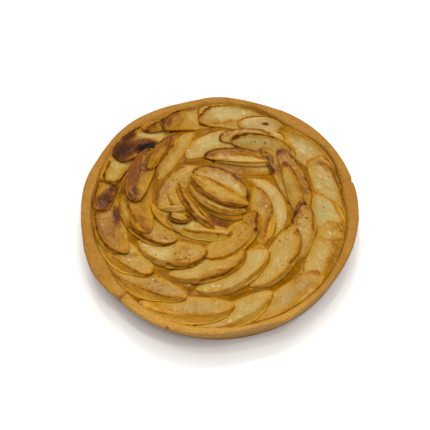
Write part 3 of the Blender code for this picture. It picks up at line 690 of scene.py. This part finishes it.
def seen_at_level(spots):
    """Where each spot shows on the level plane that the tables were set out on."""
    stretch = (EYE[2] - SIGHT_LEVEL) / (EYE[2] - spots[:, 2])
    return EYE[:2] + (spots[:, :2] - EYE[:2]) * stretch[:, None] - OFFSET[:2]


def search_tree(places):
    """Finds the nearest of these places, by their numbers."""
    tree = KDTree(len(places))
    for number, place in enumerate(places):
        tree.insert(Vector(place), number)
    tree.balance()
    return tree


def nearest(spots, targets):
    """How far each spot is from the nearest of the targets."""
    tree = search_tree(targets)
    return np.array([tree.find(Vector(spot))[2] for spot in spots])


def ease(value, low, high):
    """0 below low, 1 above high, and a smooth rise between."""
    share = np.clip((value - low) / (high - low), 0.0, 1.0)
    return share * share * (3.0 - 2.0 * share)


def beside_run(flat, start, end):
    """How far along a straight run each spot lies, as a share, and the way to the spot from the run."""
    run = end - start
    along = (flat - start) @ run / (run @ run)
    return along, flat - start - np.clip(along, 0.0, 1.0)[:, None] * run


def in_oval(flat, x, y, half_long, half_wide, direction):
    """1 in the middle of an oval, 0 along its edge, and less outside it."""
    turn = math.radians(direction)
    away = flat - (x, y)
    along = away @ (math.cos(turn), math.sin(turn)) / half_long
    across = away @ (-math.sin(turn), math.cos(turn)) / half_wide
    return 1.0 - np.hypot(along, across)


def in_disc(flat, x, y, radius):
    return in_oval(flat, x, y, radius, radius, 0.0)


# ---- rim of the case
def lump(angle, centre, spread):
    """1 at the middle of a lump and less away from it, for angles in degrees."""
    apart = (angle - centre + 180.0) % 360.0 - 180.0
    return np.exp(-0.5 * (apart / spread) ** 2)


def rim_shape(angle):
    """Outer radius, inner radius and height of the rim at an angle in degrees."""
    outer, inner, height = (
        size + sum(change * lump(angle, centre, spread) for centre, spread, change in lumps)
        for size, lumps in ((RIM_RADIUS, OUTER_LUMPS), (RIM_INNER, INNER_LUMPS), (RIM_HEIGHT, HEIGHT_LUMPS))
    )
    seam = lump(angle, SEAM_ANGLE, 1.3)
    crack = lump(angle, CRACK_ANGLE, 0.9)
    return outer - 2.2 * seam - 1.0 * crack, inner - 0.8 * seam, height - 1.2 * seam - 0.6 * crack


def wall_radius(angle, height):
    """Radius of the wall's inner face at an angle and a height."""
    _, inner, top = rim_shape(angle)
    return inner - WALL_LEAN * (top - WALL_DROP - height)


# ---- apple slices
# How near the wall a slice is drawn out to it, the gap that stays, and how far it climbs between two heights
WALL_PRESS = 14.0
WALL_GAP = 0.2
WALL_CLIMB = 3.4
CLIMB_HEIGHTS = (14.0, 20.0)
# Size of the faces in the skin of a slice
SKIN_CELL = 0.7
# The face of a slice is where its normal rises more than this, and the rest is its sides
FACE_LIFT = 0.62
# Stretches along a slice in each of which the middle of its width is found
STATIONS = 14
# Length of the steps of a browned edge, and how far outside its slice it may run and still be drawn onto it
COURSE_STEP = 1.2
NEAR_MISS = 3.2
CREASE_WIDTH = 0.9
# Patches up to this half length are specks with a crisp outline
SPECK_SIZE = 2.0
# Further than anything that a finish looks for
FAR = 9.0


def off_course(corners, flat):
    """Distance of each spot from a course of corners, and the way to it from the course."""
    last = len(corners) - 2
    away, way = np.full(len(flat), np.inf), np.zeros((len(flat), 2))
    for number, (start, end) in enumerate(zip(corners, corners[1:])):
        along, step = beside_run(flat, start, end)
        far = np.hypot(*step.T)
        past_end = ((number == 0) & (along < 0.0)) | ((number == last) & (along > 1.0))
        way = np.where((far < away)[:, None], step * ~past_end[:, None], way)
        away = np.minimum(away, far)
    return away, way


def settled(course, flat):
    """The course in short steps, each drawn onto the slice where it runs just outside it."""
    corners = np.array(course, float).reshape(-1, 2)
    places = np.append(0.0, np.cumsum(np.hypot(*np.diff(corners, axis=0).T)))
    steps = np.linspace(0.0, places[-1], max(3, int(places[-1] / COURSE_STEP)))
    spots = np.stack([np.interp(steps, places, corners[:, k]) for k in (0, 1)], axis=1)
    gaps = np.hypot(*(spots[:, None] - flat[None]).T)
    drawn = (gaps.min(axis=0) > 0.4) & (gaps.min(axis=0) < NEAR_MISS)
    spots[drawn] = flat[gaps.argmin(axis=0)[drawn]]
    spots[1:-1] = 0.25 * spots[:-2] + 0.5 * spots[1:-1] + 0.25 * spots[2:]
    return spots


def seared_edges(name, flat, left, wander):
    """At each spot: how dark the browned edges are, their tint, and how far into the peel side it lies."""
    dark, tint, beyond = np.zeros((3, len(flat)))
    for number, (depth, width, course) in enumerate(SEARED.get(name, ())):
        away, way = off_course(settled(course, flat), flat)
        wide = np.clip(width * (1.0 + 0.55 * wander), 0.35, None)
        dark = np.maximum(dark, depth * (1.0 + 0.2 * wander) * (1.0 - ease(away, 0.5 * wide, 2.2 * wide)))
        tint = np.maximum(tint, depth ** 1.5 * (1.0 - ease(away, 0.5 * width, 5.0 * width + 2.0 * wander)))
        if PEEL_FROM.get(name) == number:
            beyond = np.clip(way @ left, 0.0, 6.0)
    return dark, tint, beyond


def oven_patches(name, flat, wander):
    """Toast that the patches add at each spot, and their burn. A burn below 0 keeps that of others away."""
    toast, burn, spare = np.zeros(len(flat)), np.zeros(len(flat)), np.ones(len(flat))
    for *oval, toasted, burnt in PATCHES.get(name, ()):
        is_speck = oval[2] <= SPECK_SIZE
        inside = in_oval(flat, *oval) + wander * (0.09 if is_speck else 0.3)
        toast += toasted * ease(inside, -0.6, 0.7)
        if burnt < 0.0:
            spare = np.minimum(spare, 1.0 - ease(inside, -0.3, 0.3))
        burn = np.maximum(burn, burnt * ease(inside, -0.6, 0.8))
    return toast, burn * spare


def crease_depth(flat):
    """How deep the creases are at each spot, deepest halfway along each."""
    depth = np.zeros(len(flat))
    for start, end, deep in CREASES:
        along, step = beside_run(flat, np.array(start, float), np.array(end, float))
        groove = np.exp(-((np.hypot(*step.T) / CREASE_WIDTH) ** 2))
        depth = np.maximum(depth, deep * groove * np.sin(math.pi * np.clip(along, 0.02, 0.98)) ** 0.5)
    return depth


def without_specks(mesh):
    """The mesh cut down to its largest connected part."""
    ends = edges_of(mesh)
    part = np.arange(len(mesh.vertices))
    while (part[ends[:, 0]] != part[ends[:, 1]]).any():
        lowest = part[ends].min(1)
        np.minimum.at(part, ends[:, 0], lowest)
        np.minimum.at(part, ends[:, 1], lowest)
        part = part[part]
    keep = part == np.bincount(part).argmax()
    if not keep.all():
        work = bmesh.new()
        work.from_mesh(mesh)
        specks = [corner for corner in work.verts if not keep[corner.index]]
        bmesh.ops.delete(work, geom=specks, context="VERTS")
        work.to_mesh(mesh)
        work.free()
    return mesh


def soft_copy(node):
    """The node's solid as a fine even mesh."""
    rough_piece = bpy.data.objects.new("soft", node.data.copy())
    bpy.context.scene.collection.objects.link(rough_piece)
    remesh = rough_piece.modifiers.new("skin", "REMESH")
    remesh.mode = "VOXEL"
    remesh.voxel_size = SKIN_CELL * MM
    graph = bpy.context.evaluated_depsgraph_get()
    mesh = bpy.data.meshes.new_from_object(rough_piece.evaluated_get(graph))
    bpy.data.objects.remove(rough_piece)
    return without_specks(mesh)


def pressed_to_wall(spots):
    """The spots of a slice with those by the case drawn out against its wall and up its slope."""
    middle = spots[:, :2] - OFFSET[:2]
    radius = np.hypot(*middle.T)
    wall = rim_shape(np.degrees(np.arctan2(middle[:, 1], middle[:, 0])))[1] - WALL_GAP
    gap = np.clip((wall - radius) / WALL_PRESS, 0.01, 1.0)
    drawn = wall - WALL_PRESS * gap ** 1.8
    moved = spots.copy()
    near = radius > wall - WALL_PRESS
    moved[near, :2] = OFFSET[:2] + middle[near] * (drawn / radius)[near, None]
    moved[:, 2] += WALL_CLIMB * (1.0 - gap) ** 2 * ease(spots[:, 2], *CLIMB_HEIGHTS)
    return moved


def slice_sides(spots, ends, lift, flat, head, tail):
    """How far each spot is from the brim of the face and from the part of it by the peel, how much it is on
    the peel side, and the direction of that side."""
    along = tail - head
    left = np.array((-along[1], along[0])) / np.hypot(*along)
    share = np.clip((flat - head) @ along / (along @ along), 0.0, 1.0)
    across = (flat - head) @ left
    station = np.clip((share * STATIONS).astype(int), 0, STATIONS - 1)
    widths = [across[station == number] for number in range(STATIONS)]
    middles = np.array([0.5 * (width.min() + width.max()) if len(width) else 0.0 for width in widths])
    off_middle = across - middles[station]
    face = lift > FACE_LIFT
    brim = np.unique(ends[face[ends[:, 0]] != face[ends[:, 1]]].ravel())
    peel_brim = brim[off_middle[brim] > 0.0]
    if not len(peel_brim):
        peel_brim = brim
    peel = ease(FACE_LIFT - lift, 0.0, 0.35) * ease(off_middle, -1.0, 1.0)
    return nearest(spots, spots[brim]), nearest(spots, spots[peel_brim]), peel, left


def apple_slice(number, name, material):
    """The soft skin of a slice in low relief, with the numbers that its finish reads."""
    head, tail, toast, line, gloss, freckles = SLICES[name]
    mesh = soft_copy(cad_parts["slice_" + name])
    ends = edges_of(mesh)
    spots = pressed_to_wall(smooth(spots_of(mesh), ends, 4))
    move(mesh, spots)
    normals = rows_of(mesh.vertex_normals, "vector", 3).astype(float)
    lift = normals[:, 2]
    top = ease(lift, 0.3, 0.8)
    flat = seen_at_level(spots)
    brim, skin, peel, left = slice_sides(spots, ends, lift, flat, np.array(head, float), np.array(tail, float))
    wave = rough(spots, 9.0, number)
    ripple = rough(spots, 2.4, number + 60)
    wander = rough(spots, 5.0, number + 30) + 0.6 * ripple
    seared, tint, beyond = seared_edges(name, flat, left, wander)
    patch_toast, burn = oven_patches(name, flat, wander)
    crease = crease_depth(flat)
    skin = np.where(beyond > 0.8, FAR, skin)
    peel = np.maximum(peel, ease(beyond, 0.2, 1.4))
    lip = 0.45 * np.exp(-((skin / 1.2) ** 2)) * ease(lift, 0.2, 0.7) * line + 0.25 * seared * top
    fall = 0.42 * beyond * top
    relief = 0.18 * wave + 0.07 * ripple + lip - fall - crease * top
    spots = spots + normals * relief[:, None]
    move(mesh, spots)
    speckles = sum(ease(in_oval(flat, *oval), -0.4, 0.6) for oval in SPECKLED.get(name, ()))
    # The toast stored here includes painted shade along the creases
    put(
        mesh, skin_mm=skin, brim_mm=brim, peel=peel, burn=burn, seared=seared,
        toast=toast + patch_toast + 0.5 * tint * (1.0 - 0.5 * peel) + 0.3 * crease,
        line=line * (0.75 + 0.5 * rough(spots, 12.0, number + 90)),
        gloss=np.full(len(spots), gloss), freckles=np.full(len(spots), freckles) + speckles,
    )
    piece = new_piece("apple_" + name, mesh, material)
    declare(piece, "slice_" + name)
    return piece


def note_touching(slices):
    """Marks on each slice where another lies against it. The finish paints these crevices golden: partly juice
    gathered between the slices, partly painted light that warms their shade.
    """
    spots = [spots_of(piece.data) for piece in slices]
    boxes = [(places.min(0) - 2.0, places.max(0) + 2.0) for places in spots]
    trees = [search_tree(places) for places in spots]
    for piece, places in zip(slices, spots):
        apart = np.full(len(places), FAR)
        for other, (low, high), tree in zip(slices, boxes, trees):
            if other is piece:
                continue
            for index in np.nonzero(((places > low) & (places < high)).all(1))[0]:
                apart[index] = min(apart[index], tree.find(Vector(places[index]))[2])
        put(piece.data, touching=1.0 - ease(apart, 0.3, 1.5))


# ---- jam
JAM_LEVEL = 16.4
JAM_FLOOR = 4.3
# How far it keeps from the wall, and how much narrower it is at the floor
JAM_GAP = 0.25
JAM_TAPER = 0.965
# How far from the wall the juices stand higher, and how high
WALL_POOL = 8.0
POOL_LEVEL = 21.0
# How high the jam creeps up beside a slice, and how soon it falls off from there
MENISCUS_RISE = 3.6
MENISCUS_REACH = 2.4
# Rings and turns of its round grid
JAM_RINGS = 98
JAM_TURNS = 420
# Where the jam is dark: x, y, radius
CARAMEL = ((0, -17, 15), (-86, -18, 9), (-20, 6, 12), (74, 8, 6), (62, 2, 6), (-12, 10, 8))


def evened(values, open_spots):
    """The values of the round grid, each averaged with those beside it that lie open."""
    grid, weight = (numbers[1:].reshape(-1, JAM_TURNS).astype(float) for numbers in (values, open_spots))
    total, count = grid * weight * 2.0, weight * 2.0
    for shift, axis in ((1, 0), (-1, 0), (1, 1), (-1, 1)):
        total += np.roll(grid * weight, shift, axis)
        count += np.roll(weight, shift, axis)
    return np.append(values[0], np.where(weight > 0.0, total / np.maximum(count, 1.0), grid).ravel())


def slice_tops(spots, slices):
    """Height of the highest slice over each spot, or 0 where the spot lies open."""
    tops = np.zeros(len(spots))
    graph = bpy.context.evaluated_depsgraph_get()
    for piece in slices:
        tree = BVHTree.FromObject(piece, graph)
        places = spots_of(piece.data)[:, :2]
        near = ((spots[:, :2] > places.min(0)) & (spots[:, :2] < places.max(0))).all(1)
        for index in np.nonzero(near)[0]:
            x, y = spots[index, :2] * MM
            hit = tree.ray_cast(Vector((x, y, 2.0 * RIM_HEIGHT * MM)), Vector((0, 0, -1)))[0]
            if hit is not None:
                tops[index] = max(tops[index], hit.z / MM)
    return tops


def jam_rise(spots, tops, to_wall):
    """How high the jam creeps up at each spot, and how far the spot is from the nearest slice."""
    level = spots * (1, 1, 0)
    covered, lying_open = np.nonzero(tops > 0.0)[0], np.nonzero(tops == 0.0)[0]
    shore, sea = search_tree(level[covered]), search_tree(level[lying_open])
    rise, away = np.zeros((2, len(spots)))
    for index in lying_open:
        here = Vector(level[index])
        away[index] = shore.find(here)[2]
        beside = min(tops[covered[found]] for _, found, _ in shore.find_range(here, away[index] + 1.2))
        creep = np.clip(0.7 * (beside - JAM_LEVEL) - 0.3, 0.0, MENISCUS_RISE)
        rise[index] = creep * math.exp(-away[index] / MENISCUS_REACH)
    pool = (POOL_LEVEL - JAM_LEVEL) * (1.0 - ease(to_wall, 0.2 * WALL_POOL, 0.8 * WALL_POOL))
    rise[lying_open] = np.maximum(rise, pool)[lying_open]
    for _ in range(3):
        rise = evened(rise, tops == 0.0)
    for index in covered:
        _, found, gap = sea.find(Vector(level[index]))
        under = (rise[lying_open[found]] + 0.3) * (1.0 - ease(gap, 2.0, 6.0))
        rise[index] = min(under, tops[index] - JAM_LEVEL - 0.8)
    return rise, away


def jam_layer(slices, material):
    """The jam between the slices, with menisci where a slice stands high beside it."""
    angles = np.arange(JAM_TURNS) * 360.0 / JAM_TURNS
    walls = wall_radius(angles, JAM_LEVEL) - JAM_GAP
    outline = outward(angles) * walls[:, None]
    shares = np.arange(1, JAM_RINGS + 1) / JAM_RINGS
    centre = OFFSET + (0, 0, JAM_LEVEL)
    spots = np.vstack([centre, (shares[:, None, None] * outline).reshape(-1, 3) + centre])
    tops = slice_tops(spots, slices)
    wall_of = np.append(walls[0], np.tile(walls, JAM_RINGS))
    rise, away = jam_rise(spots, tops, wall_of - np.hypot(*(spots[:, :2] - OFFSET[:2]).T))
    wave = rough(spots, 9.0, 400)
    spots[:, 2] += rise + 0.14 * wave
    floor_ring = JAM_TAPER * outline + OFFSET + (0, 0, JAM_FLOOR)
    corners = np.vstack([spots, floor_ring])
    mesh = new_mesh("jam_between_slices", corners, round_faces(len(corners), JAM_TURNS))
    flat = seen_at_level(spots)
    thin = ease(-away, -3.5, -0.2) * (tops == 0.0)
    dark = np.max([ease(in_disc(flat, *disc) + 0.25 * wave, 0.0, 0.6) for disc in CARAMEL], axis=0)
    below = np.zeros(JAM_TURNS)
    put(mesh, thin=np.append(thin, below), caramel=np.append(dark, below))
    declare(new_piece("jam_between_slices", mesh, material), "jam")


# ---- pastry case
CASE_TURNS = 640
# Steps from each corner of the profile to the next, and how many of them lie on the side of the filling
PROFILE_STEPS = (2, 2, 4, 4, 3, 3, 3, 3, 4, 5, 3, 3, 3, 6, 7, 3, 2, 3)
INSIDE_STEPS = sum(PROFILE_STEPS[:8])
# Where the inner wall slopes most gently, and how far inside the rim's inner edge its foot is
SLACK_ANGLE = 126.0
WALL_FOOT = 6.5
# Each crack across the rim: angle, half width in degrees, depth
CRACKS = ((SEAM_ANGLE + 0.4, 0.28, 1.3), (CRACK_ANGLE, 0.22, 0.7))
# Browned spots on the rim: x, y, radius
RIM_SPOTS = ((8, 118, 1.6), (-27, 114, 1.0), (117, 22, 1.6), (-96, -72, 1.2), (-40, -117, 1.5), (60, 101, 1.0))


def pastry_profile(angle):
    """(radius, height, toast, juice) at each step, from the floor over the rim to the underside."""
    outer, inner, top = rim_shape(angle)
    slope = 0.6 + 1.1 * lump(angle, SLACK_ANGLE, 24.0)
    foot = inner - WALL_FOOT
    base = BASE_RADIUS + 0.12 * (outer - RIM_RADIUS)
    corners = [
        (foot - 18.0, BASE_THICKNESS, 0, 0), (foot - 2.0, BASE_THICKNESS, 0, 1),
        (foot, BASE_THICKNESS + 2.0, 0, 1), (inner - 3.6 * slope, top - 11.0, 0.2, 0.9),
        (inner - 2.4 * slope, top - 7.5, 0.15, 0.45), (inner - 1.3 * slope, top - 4.5, 0.1, 0.15),
        (inner - 0.4 * slope, top - 2.2, 0.05, 0.05), (inner + 0.6, top - 0.9, 0.05, 0),
        (inner + 1.9, top - 0.15, 0.1, 0), (0.5 * (inner + outer) - 0.4, top + 0.25, 0.1, 0),
        (outer - 1.7, top, 0.1, 0),
        (outer - 0.5, top - 0.5, 0.2, 0), (outer, top - 1.7, 0.3, 0), (outer - 0.3, top - 4.0, 0.25, 0),
        (0.52 * outer + 0.48 * base + 0.4, 13.5, 0.2, 0), (base + 0.5, 2.2, 0.3, 0), (base, 0.8, 0.35, 0),
        (base - 1.0, 0.0, 0.3, 0), (base - 24.0, 0.0, 0.2, 0),
    ]
    return [
        tuple(first[k] + (second[k] - first[k]) * step / count for k in range(4))
        for first, second, count in zip(corners, corners[1:], PROFILE_STEPS)
        for step in range(count)
    ] + [corners[-1]]


def pastry_case(material):
    """The case, hand-pressed and sandy, with its cracks, browned spots and splashes of juice."""
    angles = np.arange(CASE_TURNS) * 360.0 / CASE_TURNS
    profiles = np.array([pastry_profile(angle) for angle in angles])
    steps = profiles.shape[1]
    radius, height, toast, juice = profiles.T.reshape(4, -1)
    angle_of = np.tile(angles, steps)
    out = outward(angle_of)
    spots = out * radius[:, None]
    spots[:, 2] = height
    shown = ease(height, 1.0, 6.0)
    hand = rough(spots, 16.0, 500)
    crumb = rough(spots, 3.2, 501)
    inside = np.repeat(np.arange(steps), CASE_TURNS) < INSIDE_STEPS
    side = np.where(inside, -1.0, 1.0) * (height < RIM_HEIGHT - 1.0)
    spots += out * (shown * side * (0.45 * hand + 0.14 * crumb))[:, None]
    relief = 0.22 * hand + 0.16 * crumb + 0.10 * rough(spots, 1.3, 502)
    spots[:, 2] += shown * ease(spots[:, 2], 25.0, 27.5) * relief
    bend = 0.5 * rough(spots, 4.0, 503)
    crack = np.max([deep * lump(angle_of, centre + bend, wide) for centre, wide, deep in CRACKS], axis=0)
    spots[:, 2] -= crack * shown * ease(spots[:, 2], 20.0, 26.0)
    upper = ease(spots[:, 2], 19.0, 26.0)
    for disc in RIM_SPOTS:
        toast = np.maximum(toast, upper * ease(in_disc(spots[:, :2], *disc), -0.3, 0.5))
    # Painted shade: the cracks are painted darker; the lumps are a little browner
    toast = np.clip(toast + 0.8 * np.minimum(crack, 1.0) * upper + 0.25 * np.maximum(hand, 0.0), 0.0, 1.0)
    juice = np.clip(juice * (0.7 + 0.7 * crumb), 0.0, 1.0)
    spots = np.vstack([(0, 0, BASE_THICKNESS), spots]) + OFFSET
    mesh = new_mesh("pastry_case", spots, round_faces(len(spots), CASE_TURNS))
    toast, juice, upper = (np.append(0.0, values) for values in (toast, juice, upper))
    # Painted light: lighter towards the front of the case and down its outer wall there
    pale = 0.8 * ease(-spots[:, 1], 60.0, 112.0) * ease(spots[:, 2], 3.0, 24.0)
    put(mesh, toast=toast, juice=juice, splashed=upper, pale=pale)
    declare(new_piece("pastry_case", mesh, material), "crust")


# ---- stage
WARM_WHITE = (1.0, 0.98, 0.95)
PLAIN_WHITE = (1.0, 0.98, 0.97)
ROSY_WHITE = (1.0, 0.97, 0.93)
# Small lamps whose reflections make the white glints on the glaze, in metres
LAMPS = (
    (-0.26, 0.72, 1.0), (-0.02, 0.88, 0.92), (0.28, 0.55, 1.08), (-0.06, 0.50, 1.12), (0.16, 0.96, 0.84),
    (-0.12, 0.08, 1.2), (0.22, -0.14, 1.15),
)
SENSOR_WIDTH = 36.0
FLOOR_HALF = 3000.0
FLOOR_DROP = 0.2


def area_light(name, spot, size, power, color=WARM_WHITE, mirrored=False):
    """A round lamp aimed at the tart, which glossy surfaces mirror only where that is asked for."""
    light = bpy.data.lights.new(name, "AREA")
    light.shape, light.size, light.energy, light.color = "DISK", size, power, color
    made = bpy.data.objects.new(name, light)
    made.location = spot
    made.rotation_euler = (-Vector(spot)).to_track_quat("-Z", "Y").to_euler()
    made.visible_glossy = mirrored
    bpy.context.scene.collection.objects.link(made)


def camera():
    """The photograph's view: above the front edge, looking down at the tart."""
    lens = bpy.data.cameras.new("camera")
    lens.sensor_width, lens.lens, lens.clip_start = SENSOR_WIDTH, FOCAL_SHARE * SENSOR_WIDTH, 0.01
    made = bpy.data.objects.new("camera", lens)
    pitch = Matrix.Rotation(math.pi / 2 - CAMERA_ANGLE + CAMERA_TILT, 4, "X")
    made.matrix_world = Matrix.Translation(EYE * MM) @ pitch @ Matrix.Rotation(CAMERA_TURN, 4, "Y")
    bpy.context.scene.collection.objects.link(made)
    bpy.context.scene.camera = made


def pale_floor(flow):
    return {"Roughness": 0.6 + flow.grain(40.0) * 0.1}


def stage():
    """The pale floor, the soft light of the room and the lamps."""
    scene = bpy.context.scene
    scene.view_settings.view_transform = "Standard"
    floor_paint = finish("pale_floor", {"Base Color": (0.86, 0.86, 0.86, 1)}, pale_floor)
    corners = [(x * FLOOR_HALF, y * FLOOR_HALF, 0) for x, y in ((-1, -1), (1, -1), (1, 1), (-1, 1))]
    floor = new_piece("floor", new_mesh("floor", corners, [(0, 1, 2, 3)]), floor_paint)
    floor.location.z = -FLOOR_DROP * MM
    world = bpy.data.worlds.new("soft_room")
    world.use_nodes = True
    background = world.node_tree.nodes["Background"]
    background.inputs["Color"].default_value = (1.0, 1.0, 1.0, 1)
    background.inputs["Strength"].default_value = 0.42
    scene.world = world
    world.cycles_visibility.glossy = False
    area_light("overhead", (-0.12, 0.20, 1.1), 1.4, 9.7)
    area_light("ceiling", (0.0, 0.80, 1.1), 0.9, 0.35, PLAIN_WHITE, mirrored=True)
    for number, spot in enumerate(LAMPS):
        area_light(f"lamp_{number}", spot, 0.042, 1.15, mirrored=True)
    area_light("fill", (0.7, -0.5, 0.9), 0.8, 3.0, ROSY_WHITE)


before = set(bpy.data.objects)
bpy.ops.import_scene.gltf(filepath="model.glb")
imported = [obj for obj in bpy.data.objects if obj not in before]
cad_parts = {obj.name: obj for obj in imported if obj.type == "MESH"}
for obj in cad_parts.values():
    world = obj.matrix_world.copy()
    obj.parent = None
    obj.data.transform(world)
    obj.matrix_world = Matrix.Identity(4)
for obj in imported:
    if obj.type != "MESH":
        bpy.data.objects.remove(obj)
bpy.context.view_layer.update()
apple = finish("baked_apple", {
    "IOR": 1.37, "Subsurface Weight": 0.8, "Subsurface Radius": (1.0, 0.65, 0.3), "Subsurface Scale": 0.004,
}, baked_apple)
slices = [apple_slice(number, name, apple) for number, name in enumerate(SLICES)]
note_touching(slices)
jam_layer(slices, finish("amber_jam", {"IOR": 1.14}, amber_jam))
pastry_case(finish("shortcrust", {"IOR": 1.36}, shortcrust))
stage()
camera()
